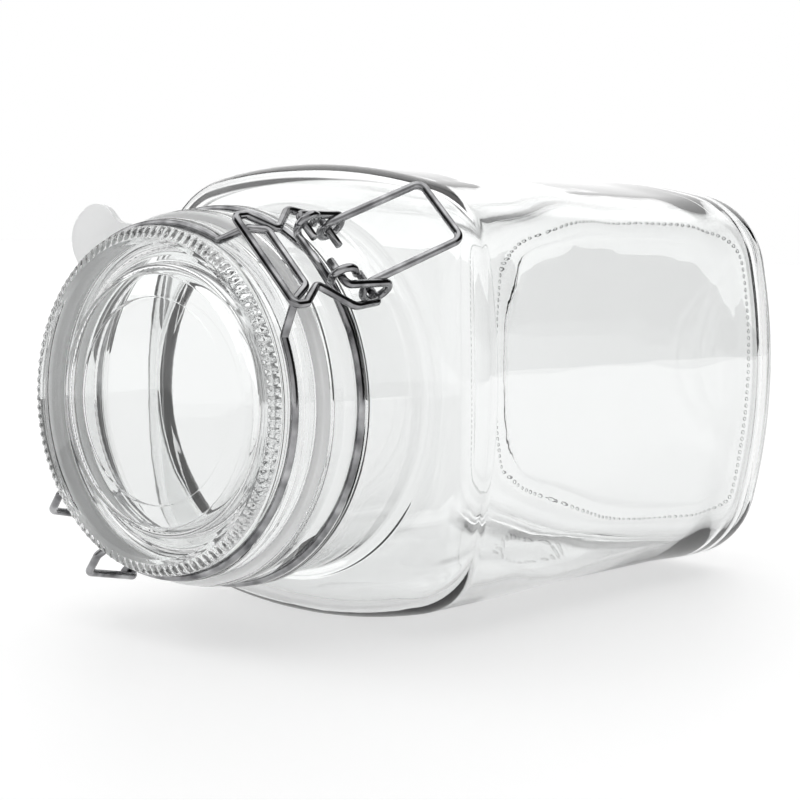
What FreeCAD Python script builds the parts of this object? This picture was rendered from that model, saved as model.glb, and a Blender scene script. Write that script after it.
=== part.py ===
import FreeCAD, Part
import math
import os
from FreeCAD import Vector

# Square storage jar with a glass lid and a wire toggle closure, lying on one side.
# Everything is drawn upright, with h measured up from the base, and laid down at the end.

# ---- overall sizes, mm ----
JAR_WIDTH = 130.0            # across two opposite sides, over the bands that touch other jars
BODY_HEIGHT = 172.35         # base to the top of the shoulder
SIDE_RADIUS = 175.0          # the sides bulge very slightly
CORNER_RADIUS = 27.0
SHOULDER_RADIUS = 46.0       # round of the shoulder, seen from the side
SHOULDER_EDGE = 13.0         # blend between the shoulder and the four sides
HEEL_RADIUS = 11.0
WALL = 4.3
FLOOR = 7.0                  # glass under the contents, at the wall
FLOOR_RISE = 3.0             # the floor is higher in the middle
FLOOR_CORNER = 8.0
PUSH_UP = 3.2                # hollow under the base
BASE_RING = 5.0              # width of the ring the upright jar stands on
BAND_LOW = 20.0              # top of the lower contact band
UPPER_BAND = 51.35           # height of the upper contact band and the shoulder above it
BAND_SLOPE = 6.0
PANEL_SINK = 0.8             # the panels between the bands lie this much lower
REST_CUT = 0.15              # depth of the flat spot on the side it lies on

# ---- neck and finish ----
FINISH_RADIUS = 51.0         # outside of the ring under the seal
LIP_WIDTH = 7.0
MOUTH_DEPTH = 11.0           # height of the narrow mouth
NECK_IN = 0.2                # the neck is this much slimmer than the finish
NECK_WALL = 4.2
NECK_BLEND = 2.6
NECK_HEIGHT = 22.65          # shoulder to the transfer bead
BEAD_PROUD = 1.4             # transfer bead under the neck wire
BEAD_HEIGHT = 3.2
SEAT_RISE = 5.0              # start of the bead to the neck wire
SEAT_DEPTH = 0.9             # groove for the neck wire
FINISH_HEIGHT = 10.5         # neck wire to the top of the mouth
LIP_ROUND = 0.9

# ---- wire ----
WIRE = 1.9
SEAT_GAP = 0.15              # wire to the glass it lies against
PIN_GAP = 0.3                # wire pin to the loop it turns in
SIDE_GAP = 0.38              # between wires that move past each other sideways
TURN_GAP = 0.12              # between neighbouring turns of one coil
BEND = 1.7                   # usual bend radius, on the centre line
HOOP_RUN = 3.0               # straight run where a hoop leaves its circle
COIL_FIT = 0.93              # bend radius of a coil's corners over its own radius
RING_FIT = 0.985             # the same for the hoops

# ---- gasket ----
GASKET_PLAY = 0.4            # seal to the mouth's edge
GASKET_INSET = 0.6           # the seal is this much smaller than the finish
GASKET_THICK = 3.0
TAB_ANGLE = 131.0            # direction of the pull tab
TAB_REACH = 14.6
TAB_WIDTH = 19.5
TAB_THICK = 1.8
TAB_ROUND = 9.0              # outer corners
TAB_ROOT = 7.0               # hollow corners where the tab leaves the ring

# ---- lid ----
PLUG_PLAY = 1.0              # plug to the mouth
PLUG_TAPER = 1.3
PLUG_DEPTH = 5.5
PLUG_WALL = 5.5
SKIRT_INSET = 2.5            # the skirt is this much smaller than the finish
SKIRT_HEIGHT = 5.4
LID_HEIGHT = 12.9            # from the gasket to the top of the rim
LID_WIRE_INSET = 4.0
LID_WIRE_RISE = 7.25         # gasket to the wire in the lid's groove
RIM_INSET = 4.6
RIM_FLAT = 4.6
RIM_BEVEL = 3.2              # width of the sloping outer part of the rim
DISH_SLOPE = 8.1             # width of the slope inside the rim
DISH_DEPTH = 1.9
STEP_WIDTH = 5.9
STEP_DEPTH = 0.4
LID_GLASS = 4.0              # thickness at the middle of the lid
BEAD_COUNT = 112
BEAD_WIDTH = 2.3             # across one bead, round the rim
BEAD_LENGTH = 4.0            # along one bead, from the rim's edge inwards
BEAD_SLOPE = 28.0            # the beads lean outwards with the rim's bevel

# ---- closure: u points from the jar's axis to the latch, t runs along the pivots,
# OUT sizes are measured in u from the finish, RISE sizes in h from the neck wire ----
CLOSURE_ANGLE = 45.0         # from the +X side towards the corner
LEVER_OUT = 7.7              # the lever's pins in the neck wire's loops
LEVER_RISE = 5.55
LINK_OUT = 4.0               # the link's pins in the lever's coils
LINK_RISE = -7.95
HANDLE_OUT = 23.0            # outer bar of the handle
HANDLE_RISE = -29.55
HANDLE_T = 10.3              # half the handle's width
COIL_RADIUS = 3.6            # lever coil round the link's pin
COIL_LEAN = 20.0             # the pin lies against the coil's wall in this direction
STUB_END_T = 4.0
EYE_RADIUS = 3.2             # front loops of the neck wire
STRAND_ANGLE = 137.0         # where the first strand meets its loop
STRAND_SPREAD = 35.0         # the second strand meets its loop this much further round
NECK_EXIT_T = 18.6
LEG_GAP = 0.8                # link's legs to the lever's arms
LINK_END_T = 5.0
KNEE_OUT = 4.7
KNEE_RISE = 3.6
KNEE_SPREAD = 2.1
PINCH_OUT = 4.8
PINCH_DROP = 3.65            # under the lid wire's bow
PINCH_T = 9.6
BAR_OUT = 3.6                # link's bar over the lid wire
BAR_LIFT = 3.3               # over the lid wire's groove
BAR_GAP = 1.1
CURL = 3.9                   # length of the bar's curled ends
RISER_T = 16.6
CATCH_OUT = 2.3              # outer corners of the lid wire's front bow
CATCH_T = 12.2
BOW_OUT = 4.4
BOW_DROP = 4.4
BOW_T = 9.6
HINGE_OUT = 11.0             # lid wire's pins in the neck wire's rear loops
HINGE_RISE = -0.95
HINGE_NEAR_T = -15.0
HINGE_FAR_T = 7.0
HINGE_PIN = 7.0
HOOK_RADIUS = 2.9            # rear loops of the neck wire
ARM_OUT = 4.8                # highest corner of the rear arms
ARM_START_IN = 3.4
ARM_START_LIFT = 1.85

UP = Vector(0, 0, 1)
AXIS = Vector(0, 0, 0)
WIRE_R = WIRE / 2
TURN = WIRE + TURN_GAP
HALF = JAR_WIDTH / 2

MOUTH_RADIUS = FINISH_RADIUS - LIP_WIDTH
NECK_RADIUS = FINISH_RADIUS - NECK_IN
NECK_BORE = NECK_RADIUS - NECK_WALL
BEAD_LOW = BODY_HEIGHT + NECK_HEIGHT
WIRE_SEAT = BEAD_LOW + SEAT_RISE
WIRE_SEAT_RADIUS = FINISH_RADIUS - SEAT_DEPTH
NECK_WIRE_RADIUS = WIRE_SEAT_RADIUS + WIRE_R + SEAT_GAP
MOUTH_TOP = WIRE_SEAT + FINISH_HEIGHT
GASKET_INNER = MOUTH_RADIUS + GASKET_PLAY
GASKET_OUTER = FINISH_RADIUS - GASKET_INSET

LID_SEAT = MOUTH_TOP + GASKET_THICK
TOTAL_HEIGHT = LID_SEAT + LID_HEIGHT
PLUG_RADIUS = MOUTH_RADIUS - PLUG_PLAY
SKIRT_RADIUS = FINISH_RADIUS - SKIRT_INSET
RIM_RADIUS = FINISH_RADIUS - RIM_INSET
LID_WIRE_RADIUS = FINISH_RADIUS - LID_WIRE_INSET
LID_WIRE_H = LID_SEAT + LID_WIRE_RISE

LEVER_U = FINISH_RADIUS + LEVER_OUT
LEVER_H = WIRE_SEAT + LEVER_RISE
LINK_U = FINISH_RADIUS + LINK_OUT
LINK_H = WIRE_SEAT + LINK_RISE
ARM_T = HANDLE_T + TURN
EYE_T = ARM_T - WIRE - PIN_GAP - TURN
PIN_T = ARM_T + WIRE + LEG_GAP
HOOK_T = WIRE + SIDE_GAP + TURN
HINGE_U = -FINISH_RADIUS - HINGE_OUT
HINGE_H = WIRE_SEAT + HINGE_RISE


# ---- glass ----
def square_wire(inset, h):
    """Rounded square with gently bulging sides, drawn inset from the widest outline."""
    side = SIDE_RADIUS - inset
    corner = CORNER_RADIUS - inset
    lean = HALF - SIDE_RADIUS
    reach = side - corner
    k = (lean + math.sqrt(2 * reach ** 2 - lean ** 2)) / 2
    turn = math.atan2(k, k - lean)
    tx = lean + side * math.cos(turn)
    ty = side * math.sin(turn)
    tip = k + corner * math.sqrt(0.5)
    edges = []
    for quarter in range(4):
        def place(x, y):
            c, s = ((1, 0), (0, 1), (-1, 0), (0, -1))[quarter]
            return Vector(c * x - s * y, s * x + c * y, h)
        edges.append(Part.Arc(place(tx, -ty), place(lean + side, 0), place(tx, ty)).toShape())
        edges.append(Part.Arc(place(tx, ty), place(tip, tip), place(ty, tx)).toShape())
    return Part.Wire(edges)


def outline_reach():
    """Distance from the axis to the jar's corners."""
    reach = SIDE_RADIUS - CORNER_RADIUS
    lean = HALF - SIDE_RADIUS
    k = (lean + math.sqrt(2 * reach ** 2 - lean ** 2)) / 2
    return k * math.sqrt(2) + CORNER_RADIUS


def square_loft(stations):
    """Solid through rounded squares; each station is (inset, h)."""
    return Part.makeLoft([square_wire(inset, h) for inset, h in stations], True, True)


def turned(edges):
    """Full turn of a closed profile that lies in the r-h plane."""
    return Part.Face(Part.Wire(edges)).revolve(AXIS, UP, 360)


def rz(r, h):
    return Vector(r, 0, h)


def lines(points):
    return [Part.LineSegment(a, b).toShape() for a, b in zip(points, points[1:])]


def rounded_profile(corners):
    """Closed profile through (r, h, round) corners, each rounded with a tangent arc."""
    edges = []
    ends = []
    count = len(corners)
    for i in range(count):
        here = rz(*corners[i][:2])
        radius = corners[i][2]
        if radius == 0:
            ends.append((here, None, here))
            continue
        before = (rz(*corners[i - 1][:2]) - here).normalize()
        after = (rz(*corners[(i + 1) % count][:2]) - here).normalize()
        half = before.getAngle(after) / 2
        cut = radius / math.tan(half)
        middle = here + (before + after).normalize() * (radius / math.sin(half) - radius)
        ends.append((here + before * cut, middle, here + after * cut))
    for i in range(count):
        start, middle, end = ends[i]
        if middle is not None:
            edges.append(Part.Arc(start, middle, end).toShape())
        edges.append(Part.LineSegment(end, ends[(i + 1) % count][0]).toShape())
    return edges


def shoulder_tool(inset):
    """Everything under the shoulder's round, as a turned solid."""
    centre = rz(NECK_RADIUS, BODY_HEIGHT - SHOULDER_RADIUS)
    radius = SHOULDER_RADIUS - inset
    top = centre + Vector(0, 0, radius)
    slant = math.asin(min(0.99, (outline_reach() + HEEL_RADIUS - NECK_RADIUS) / SHOULDER_RADIUS))
    middle = centre + Vector(math.sin(slant / 2), 0, math.cos(slant / 2)) * radius
    low = centre + Vector(math.sin(slant), 0, math.cos(slant)) * radius
    arc = Part.Arc(top, middle, low).toShape()
    foot = -HEEL_RADIUS
    rest = lines([low, rz(low.x, foot), rz(0, foot), rz(0, top.z), top])
    return turned([arc] + rest)


def edges_between(shape, low, high, reach):
    """Edges that lie wholly between two heights and further out than reach."""
    found = []
    for edge in shape.Edges:
        points = edge.discretize(5)
        if all(low <= p.z <= high and math.hypot(p.x, p.y) >= reach for p in points):
            found.append(edge)
    return found


def jar_outside():
    band_high = BODY_HEIGHT - UPPER_BAND
    stations = [
        (0, 0),
        (0, BAND_LOW),
        (PANEL_SINK, BAND_LOW + BAND_SLOPE),
        (PANEL_SINK, band_high - BAND_SLOPE),
        (0, band_high),
        (0, BODY_HEIGHT + WALL),
    ]
    body = square_loft(stations).common(shoulder_tool(0))
    body = body.makeFillet(HEEL_RADIUS, edges_between(body, -0.1, 0.1, 1))
    rim = edges_between(body, band_high + BAND_SLOPE, BODY_HEIGHT, HALF - 1)
    body = body.makeFillet(SHOULDER_EDGE, [e for e in rim if level_edge(e)])
    half_width = HALF - HEEL_RADIUS - BASE_RING
    foot = square_loft([(HALF - half_width, -1), (HALF - half_width + PUSH_UP, PUSH_UP)])
    return body.cut(foot.common(cap(half_width + CORNER_RADIUS / 2, 0, PUSH_UP)))


def level_edge(edge):
    """True for an edge that runs round the jar rather than up it."""
    box = edge.BoundBox
    return box.ZLength < max(box.XLength, box.YLength) / 2


def cap(reach, base, rise):
    """Shallow dome: a slice of a ball that is rise high in the middle and reach wide."""
    radius = (reach ** 2 + rise ** 2) / (2 * rise)
    ball = Part.makeSphere(radius, rz(0, base + rise - radius))
    box = Part.makeBox(4 * reach, 4 * reach, radius, Vector(-2 * reach, -2 * reach, base - 1))
    return ball.common(box)


def jar_inside():
    room = square_loft([(WALL, FLOOR), (WALL, BODY_HEIGHT)]).common(shoulder_tool(WALL))
    low = edges_between(room, FLOOR - 0.1, FLOOR + 0.1, 1)
    room = room.makeFillet(FLOOR_CORNER, low)
    rim = edges_between(room, BODY_HEIGHT - UPPER_BAND, BODY_HEIGHT, HALF - WALL - 1)
    room = room.makeFillet(SHOULDER_EDGE - WALL, [e for e in rim if level_edge(e)])
    room = room.cut(cap(HALF - WALL - FLOOR_CORNER, FLOOR, FLOOR_RISE))
    narrow = MOUTH_TOP - MOUTH_DEPTH
    step = NECK_BORE - MOUTH_RADIUS
    bore = turned(rounded_profile([
        (0, BODY_HEIGHT - 2 * WALL, 0),
        (NECK_BORE, BODY_HEIGHT - 2 * WALL, 0),
        (NECK_BORE, narrow - step, 2 * step),
        (MOUTH_RADIUS, narrow + step, 2 * step),
        (MOUTH_RADIUS, MOUTH_TOP + 1, 0),
        (0, MOUTH_TOP + 1, 0),
    ]))
    return room.fuse(bore)


def neck():
    """Neck, transfer bead, wire groove and the ring the gasket sits on."""
    bead = FINISH_RADIUS + BEAD_PROUD
    bead_top = BEAD_LOW + BEAD_HEIGHT
    groove_top = WIRE_SEAT + WIRE_R
    inner = MOUTH_RADIUS - 1
    flare = NECK_RADIUS + 1.4 * NECK_BLEND
    return turned(rounded_profile([
        (inner, BODY_HEIGHT - WALL + 1, 0),
        (flare, BODY_HEIGHT - WALL + 1, 0),
        (flare, BODY_HEIGHT - 0.3, 0),
        (NECK_RADIUS, BODY_HEIGHT + 0.1, NECK_BLEND),
        (NECK_RADIUS, BEAD_LOW - 1, 0.5),
        (bead, BEAD_LOW, 0.8),
        (bead, bead_top, 0.8),
        (WIRE_SEAT_RADIUS, bead_top + 0.4, 0.3),
        (WIRE_SEAT_RADIUS, groove_top, 0.3),
        (FINISH_RADIUS, groove_top + 1, 0.3),
        (FINISH_RADIUS, MOUTH_TOP, LIP_ROUND),
        (inner, MOUTH_TOP, 0),
    ]))


def jar_body():
    glass = jar_outside().fuse(neck()).cut(jar_inside())
    block = Part.makeBox(4 * HALF, 4 * HALF, 2 * TOTAL_HEIGHT)
    block.translate(Vector(-2 * HALF, REST_CUT - HALF, -HALF))
    return glass.common(block)


def lid_bead():
    """One pressed bead: an ellipsoid that lies on the rim's bevel."""
    long = BEAD_LENGTH / 2
    short = BEAD_WIDTH / 2
    ellipse = Part.Ellipse(AXIS, long, short)
    half = Part.ArcOfEllipse(ellipse, 0, math.pi).toShape()
    closing = Part.LineSegment(Vector(-long, 0, 0), Vector(long, 0, 0)).toShape()
    bead = Part.Face(Part.Wire([half, closing])).revolve(AXIS, Vector(1, 0, 0), 360)
    bead.rotate(AXIS, Vector(0, 1, 0), BEAD_SLOPE)
    lean = math.radians(BEAD_SLOPE)
    half_out = math.hypot(long * math.cos(lean), short * math.sin(lean))
    half_up = math.hypot(long * math.sin(lean), short * math.cos(lean))
    bead.translate(rz(RIM_RADIUS - half_out, TOTAL_HEIGHT - half_up))
    return bead


def lid():
    """Lid glass with its ring of beads."""
    bead = lid_bead()
    ring = []
    for i in range(BEAD_COUNT):
        copy = bead.copy()
        copy.rotate(AXIS, UP, 360 / BEAD_COUNT * i)
        ring.append(copy)
    return lid_blank().fuse(ring)


def lid_blank():
    """Plug, skirt, wire groove, rim, dish and the hollow underneath."""
    under = LID_SEAT + LID_HEIGHT - DISH_DEPTH - STEP_DEPTH - LID_GLASS
    top = LID_SEAT + LID_HEIGHT
    skirt_top = LID_SEAT + SKIRT_HEIGHT
    waist = LID_WIRE_RADIUS - WIRE_R - SEAT_GAP
    groove_low = LID_WIRE_H - WIRE_R
    groove_high = LID_WIRE_H + WIRE_R
    bevel_drop = RIM_BEVEL * math.tan(math.radians(BEAD_SLOPE))
    inner_rim = RIM_RADIUS - RIM_FLAT
    dish = inner_rim - DISH_SLOPE
    step = dish - STEP_WIDTH
    dish_h = top - DISH_DEPTH
    return turned(rounded_profile([
        (0, under, 0),
        (PLUG_RADIUS - PLUG_WALL, under, 3),
        (PLUG_RADIUS - PLUG_WALL, LID_SEAT - PLUG_DEPTH, 1.5),
        (PLUG_RADIUS - PLUG_TAPER, LID_SEAT - PLUG_DEPTH, 1.5),
        (PLUG_RADIUS, LID_SEAT, 0),
        (SKIRT_RADIUS, LID_SEAT, 0.9),
        (SKIRT_RADIUS, skirt_top, 1.1),
        (waist, groove_low, 0.5),
        (waist, groove_high, 0.2),
        (RIM_RADIUS, groove_high + 0.8, 0.3),
        (RIM_RADIUS, top - bevel_drop, 0.5),
        (RIM_RADIUS - RIM_BEVEL, top, 0.8),
        (inner_rim, top, 1.2),
        (dish, dish_h, 1.5),
        (step, dish_h - STEP_DEPTH / 2, 2),
        (step - 1, dish_h - STEP_DEPTH, 1),
        (0, dish_h - STEP_DEPTH, 0),
    ]))


def gasket():
    low = MOUTH_TOP
    ring = turned(rounded_profile([
        (GASKET_INNER, low, 0.6),
        (GASKET_OUTER, low, 0.8),
        (GASKET_OUTER, low + GASKET_THICK, 0.8),
        (GASKET_INNER, low + GASKET_THICK, 0.6),
    ]))
    half = TAB_WIDTH / 2
    out = GASKET_OUTER + TAB_REACH
    root = GASKET_OUTER - GASKET_THICK
    spread = half + TAB_ROOT
    foot = math.sqrt(GASKET_OUTER ** 2 - spread ** 2) - 1
    plate = tab_outline([
        (root - TAB_ROOT, -spread, 0),
        (foot, -spread, 0),
        (foot + TAB_ROOT, -half, TAB_ROOT),
        (out, -half, TAB_ROUND),
        (out, half, TAB_ROUND),
        (foot + TAB_ROOT, half, TAB_ROOT),
        (foot, spread, 0),
        (root - TAB_ROOT, spread, 0),
    ]).extrude(UP * TAB_THICK)
    plate.translate(rz(0, low + (GASKET_THICK - TAB_THICK) / 2))
    bore = Part.makeCylinder((GASKET_INNER + GASKET_OUTER) / 2, 4 * GASKET_THICK, rz(0, low - GASKET_THICK))
    plate = plate.cut(bore)
    plate.rotate(AXIS, UP, TAB_ANGLE)
    return ring.fuse(plate)


def tab_outline(corners):
    """Flat face through (x, y, round) corners."""
    face = Part.Face(Part.Wire(rounded_profile(corners)))
    face.rotate(AXIS, Vector(1, 0, 0), -90)
    return face


# ---- bent wire ----
def bent(points, radii):
    """Round wire along straight runs joined by tangent arcs."""
    edges = []
    start = points[0]
    for before, here, after, radius in zip(points, points[1:], points[2:], radii):
        back = (before - here).normalize()
        ahead = (after - here).normalize()
        half = back.getAngle(ahead) / 2
        reach = radius / math.tan(half)
        arc_start = here + back * reach
        middle = here + (back + ahead).normalize() * (radius / math.sin(half) - radius)
        edges.append(Part.LineSegment(start, arc_start).toShape())
        edges.append(Part.Arc(arc_start, middle, here + ahead * reach).toShape())
        start = here + ahead * reach
    edges.append(Part.LineSegment(start, points[-1]).toShape())
    path = Part.Wire(edges)
    heading = (points[1] - points[0]).normalize()
    end_face = Part.Face(Part.Wire(Part.makeCircle(WIRE_R, points[0], heading)))
    wire = path.makePipe(end_face)
    return wire


def utz(u, t, h):
    return Vector(u, t, h)


def coil(u, h, radius, first, last, t_from, t_to, corners):
    """Corner points of a coil round an axis along t, from one tangent to another.

    first and last are the directions of the two tangent points in degrees, measured in the
    u-h plane from +u; a falling angle turns from +h towards +u and -h.
    """
    step = (last - first) / corners
    far = radius / math.cos(math.radians(step) / 2)
    points = []
    for i in range(corners):
        angle = math.radians(first + step * (i + 0.5))
        t = t_from + (t_to - t_from) * (i + 0.5) / corners
        points.append(utz(u + far * math.cos(angle), t, h + far * math.sin(angle)))
    return points, [radius * COIL_FIT] * corners


def mirrored(points):
    return [utz(p.x, -p.y, p.z) for p in reversed(points)]


def link():
    """Loop that hooks over the lid wire's bow and turns in the lever's coils."""
    bar_u = FINISH_RADIUS + BAR_OUT
    bar_h = LID_WIRE_H + BAR_LIFT
    bar_t = CATCH_T + WIRE + BAR_GAP
    half = [
        utz(bar_u, bar_t, bar_h),
        utz(bar_u + 0.5, bar_t, bar_h - CURL),
        utz(FINISH_RADIUS + PINCH_OUT, PINCH_T, LID_WIRE_H - BOW_DROP - PINCH_DROP),
        utz(FINISH_RADIUS + KNEE_OUT, PIN_T + KNEE_SPREAD, WIRE_SEAT + KNEE_RISE),
        utz(LINK_U, PIN_T, LINK_H),
        utz(LINK_U, LINK_END_T, LINK_H),
    ]
    bends = [BEND, BEND, BEND, 2 * BEND, BEND]
    return bent(mirrored(half) + half, list(reversed(bends)) + bends)


def lever():
    """Handle, the two coils the link turns in, the arms and the pins in the neck wire."""
    seat = COIL_RADIUS - WIRE - PIN_GAP
    lean = math.radians(COIL_LEAN)
    coil_u = LINK_U + seat * math.sin(lean)
    coil_h = LINK_H - seat * math.cos(lean)
    end_u = FINISH_RADIUS + HANDLE_OUT
    end_h = WIRE_SEAT + HANDLE_RISE
    reach = math.hypot(end_u - coil_u, end_h - coil_h)
    toward = math.degrees(math.atan2(end_h - coil_h, end_u - coil_u))
    leave = toward + math.degrees(math.acos(COIL_RADIUS / reach))
    arm = math.hypot(LEVER_U - coil_u, LEVER_H - coil_h)
    to_pivot = math.degrees(math.atan2(LEVER_H - coil_h, LEVER_U - coil_u))
    arrive = to_pivot - math.degrees(math.acos(COIL_RADIUS / arm))
    points, bends = coil(coil_u, coil_h, COIL_RADIUS, arrive, leave - 360, ARM_T, HANDLE_T, 6)
    half = [utz(LEVER_U, STUB_END_T, LEVER_H), utz(LEVER_U, ARM_T, LEVER_H)] + points
    half.append(utz(end_u, HANDLE_T, end_h))
    radii = [BEND] + bends + [1.5 * BEND]
    return bent(half + mirrored(half), radii + list(reversed(radii)))


def on_ring(radius, t, side, h):
    """End corner of a hoop, just outside its circle, at a given t on the +u or -u side."""
    far = math.hypot(radius, HOOP_RUN)
    return utz(side * math.sqrt(far ** 2 - t ** 2), t, h)


def hoop(radius, first, last, corners, sense):
    """Corner points of a round hoop between two end corners; sense +1 turns from u to t."""
    slack = math.acos(radius / math.hypot(radius, HOOP_RUN))
    start = math.atan2(first.y, first.x) + sense * slack
    sweep = math.atan2(last.y, last.x) - sense * slack - start
    while sweep * sense < 0:
        sweep += sense * 2 * math.pi
    step = sweep / corners
    far = radius / math.cos(step / 2)
    points = []
    for i in range(corners):
        angle = start + step * (i + 0.5)
        points.append(utz(far * math.cos(angle), far * math.sin(angle), first.z))
    return points, [radius * RING_FIT] * corners


def neck_wire():
    """One wire: both front loops, the strands between them, the hoop and both rear loops."""
    radius = NECK_WIRE_RADIUS
    eye_h = LEVER_H - (EYE_RADIUS - WIRE - PIN_GAP)
    hook_h = HINGE_H - (HOOK_RADIUS - WIRE - PIN_GAP)

    def front_eye(first, side):
        step = 60
        turn, bends = coil(LEVER_U, eye_h, EYE_RADIUS, first + step / 2, first - 4.5 * step,
                           side * EYE_T, side * (EYE_T + TURN), 5)
        end = turn.pop()
        return turn, [BEND] + bends[2:], end

    def rear_eye(t, side):
        turn, bends = coil(HINGE_U, hook_h, HOOK_RADIUS, 0, -270, t, t + side * TURN, 5)
        corner = utz(HINGE_U + HOOK_RADIUS, t, hook_h + HOOK_RADIUS)
        out = on_ring(radius, t + side * TURN, -1, WIRE_SEAT)
        return [corner] + turn + [out], [BEND] + bends + [BEND]

    upper, upper_bends, upper_end = front_eye(STRAND_ANGLE, 1)
    lower, lower_bends, lower_end = front_eye(STRAND_ANGLE + STRAND_SPREAD, -1)
    near, near_bends = rear_eye(HINGE_NEAR_T + HOOK_T, -1)
    far, far_bends = rear_eye(HINGE_FAR_T - HOOK_T, 1)
    near_front = on_ring(radius, -NECK_EXIT_T, 1, WIRE_SEAT)
    far_front = on_ring(radius, NECK_EXIT_T / 2, 1, WIRE_SEAT)
    rise_u = FINISH_RADIUS + WIRE
    near_hoop, near_hoop_bends = hoop(radius, near_front, near[-1], 5, -1)
    far_hoop, far_hoop_bends = hoop(radius, far[-1], far_front, 5, -1)
    points = [upper_end] + list(reversed(upper))
    radii = list(reversed(upper_bends))
    points += [utz(upper[0].x, -3, upper[0].z), utz(rise_u + 0.5, -10, WIRE_SEAT + 4)]
    radii += [2 * BEND, 2 * BEND]
    points += [near_front] + near_hoop + list(reversed(near)) + far + far_hoop + [far_front]
    radii += [2 * BEND] + near_hoop_bends + list(reversed(near_bends))
    radii += far_bends + far_hoop_bends + [2 * BEND]
    points += [utz(lower[0].x, 1.5, lower[0].z)] + lower + [lower_end]
    radii += [2 * BEND] + lower_bends
    return bent(points, radii)


def lid_wire():
    """One wire: both hinge pins, the arms, the hoop in the lid's groove and the front bow."""
    radius = LID_WIRE_RADIUS

    def arm(t, side):
        points = [
            utz(HINGE_U, t + side * HINGE_PIN, HINGE_H),
            utz(HINGE_U, t, HINGE_H),
            utz(-FINISH_RADIUS - ARM_OUT, t, LID_WIRE_H - 0.1),
            utz(-FINISH_RADIUS + ARM_START_IN, t, LID_WIRE_H + ARM_START_LIFT),
            on_ring(radius, t, -1, LID_WIRE_H),
        ]
        return points, [BEND, 1.5 * BEND, BEND, BEND]

    def bow(side):
        start = on_ring(radius, side * RISER_T, 1, LID_WIRE_H)
        catch = utz(FINISH_RADIUS + CATCH_OUT, side * CATCH_T, LID_WIRE_H - 0.1)
        return [start, catch, utz(FINISH_RADIUS + BOW_OUT, side * BOW_T, LID_WIRE_H - BOW_DROP)]

    near, near_bends = arm(HINGE_NEAR_T, 1)
    far, far_bends = arm(HINGE_FAR_T, -1)
    near_bow = bow(-1)
    far_bow = bow(1)
    near_hoop, near_hoop_bends = hoop(radius, near[-1], near_bow[0], 5, 1)
    far_hoop, far_hoop_bends = hoop(radius, far_bow[0], far[-1], 5, 1)
    points = near + near_hoop + near_bow + list(reversed(far_bow)) + far_hoop
    points += list(reversed(far))
    bow_bends = [BEND, BEND, BEND]
    radii = near_bends + near_hoop_bends + bow_bends + bow_bends + far_hoop_bends
    radii += list(reversed(far_bends))
    return bent(points, radii)


def lay_down(shape, turn):
    """Turn by the closure's direction if asked, lay the jar on its side, centre it in length."""
    shape = shape.copy()
    shape.rotate(AXIS, UP, turn)
    shape.rotate(AXIS, Vector(1, 0, 0), 90)
    shape.translate(Vector(0, TOTAL_HEIGHT / 2, HALF - REST_CUT))
    return shape


PARTS = [
    ("jar_body", jar_body, 0),
    ("neck_wire", neck_wire, CLOSURE_ANGLE),
    ("lid", lid, 0),
    ("lid_wire", lid_wire, CLOSURE_ANGLE),
    ("gasket", gasket, 0),
    ("lever", lever, CLOSURE_ANGLE),
    ("link", link, CLOSURE_ANGLE),
]

os.makedirs("parts", exist_ok=True)
for name, make, turn in PARTS:
    shape = lay_down(make(), turn)
    solids = shape.Solids
    if len(solids) == 1:
        shape = solids[0]
    shape.exportStep(os.path.join("parts", name + ".step"))
    box = shape.BoundBox
    print(name, shape.isValid(), len(solids), round(shape.Volume, 1), len(shape.Faces),
          [round(v, 2) for v in (box.XMin, box.XMax, box.YMin, box.YMax, box.ZMin, box.ZMax)])
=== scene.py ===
import math

import bmesh
import bpy
import numpy as np
from mathutils import Matrix, Vector


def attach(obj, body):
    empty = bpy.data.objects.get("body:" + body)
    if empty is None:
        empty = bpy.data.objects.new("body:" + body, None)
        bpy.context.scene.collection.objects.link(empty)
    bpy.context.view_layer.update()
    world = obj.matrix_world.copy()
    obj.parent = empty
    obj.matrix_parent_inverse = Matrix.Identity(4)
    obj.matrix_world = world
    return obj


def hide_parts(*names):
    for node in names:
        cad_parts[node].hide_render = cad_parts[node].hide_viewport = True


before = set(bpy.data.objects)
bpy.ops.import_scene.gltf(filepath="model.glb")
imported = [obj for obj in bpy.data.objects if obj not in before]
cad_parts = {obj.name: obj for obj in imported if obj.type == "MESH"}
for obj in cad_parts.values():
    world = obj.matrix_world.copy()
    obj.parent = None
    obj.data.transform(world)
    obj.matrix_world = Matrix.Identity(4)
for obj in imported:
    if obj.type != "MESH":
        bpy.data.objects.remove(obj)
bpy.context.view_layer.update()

# ---- sizes, mm, with the jar upright: radii from its axis, heights from its base ----
JAR_WIDTH = 130.0            # across two opposite sides
SIDE_RADIUS = 175.0          # the sides bulge very slightly
CORNER_RADIUS = 27.0
BODY_HEIGHT = 172.35         # base to the top of the shoulder
SHOULDER_RADIUS = 46.0
SHOULDER_EDGE = 13.0         # blend between the shoulder and the four sides
HEEL_RADIUS = 11.0
WALL = 4.3
FLOOR = 7.0                  # glass under the contents, at the wall
FLOOR_RISE = 3.0             # the floor is higher in the middle
FLOOR_CORNER = 8.0
PUSH_UP = 3.2                # hollow under the base
BASE_RING = 5.0              # width of the ring the upright jar stands on
FOOT_SLOPE = 0.4             # steepness of the hollow where it leaves that ring
BANDS = (16.0, 44.0, 92.0, 136.0)   # lower band, the sunk panel's two ends, upper band
PANEL_SINK = 0.8
REST_CUT = 0.15              # depth of the flat spot on the side it lies on

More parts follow.
